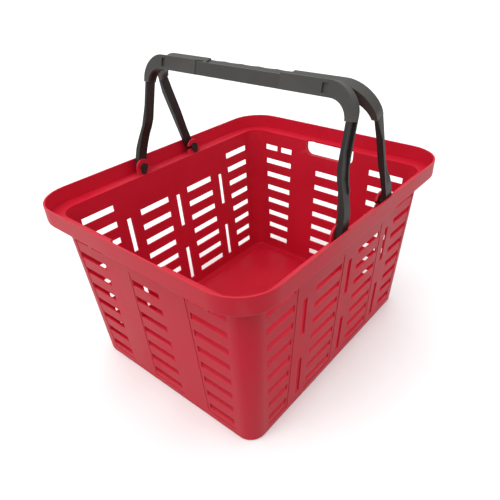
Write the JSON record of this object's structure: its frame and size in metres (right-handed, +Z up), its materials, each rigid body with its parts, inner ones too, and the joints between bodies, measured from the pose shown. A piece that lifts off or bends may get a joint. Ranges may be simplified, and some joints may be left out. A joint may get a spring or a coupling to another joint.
{
  "type": "hand-carried shopping basket",
  "caption": "Tapered slotted plastic basket with a ledge and upright lip, hand holes, and swing handles that lean together over the middle and fold down inside the lip.",
  "frame": {"origin": "middle of the underside, on the floor", "axes": "+X along the basket's length, towards the outer handle's pivots; +Y across the basket; +Z up"},
  "size_m": [0.45, 0.3674, 0.4021],
  "materials": {
    "basket_plastic": "satin",
    "handle_plastic": "satin",
    "grip_plastic": "matte"
  },
  "bodies": {
    "basket": {"basket_body": "basket_plastic"},
    "inner_bail": {"inner_handle": "handle_plastic", "inner_grip": "grip_plastic"},
    "outer_bail": {"outer_handle": "handle_plastic", "outer_grip": "grip_plastic"}
  },
  "joints": [
    {"name": "inner_handle_fold", "type": "hinge", "parent": "basket", "child": "inner_bail", "pos_m": [-0.052, 0, 0.2453], "axis": [0, -1, 0], "range_deg": [0, 105.3]},
    {"name": "outer_handle_fold", "type": "hinge", "parent": "basket", "child": "outer_bail", "pos_m": [0.052, 0, 0.2453], "axis": [0, 1, 0], "range_deg": [0, 109.5]}
  ]
}
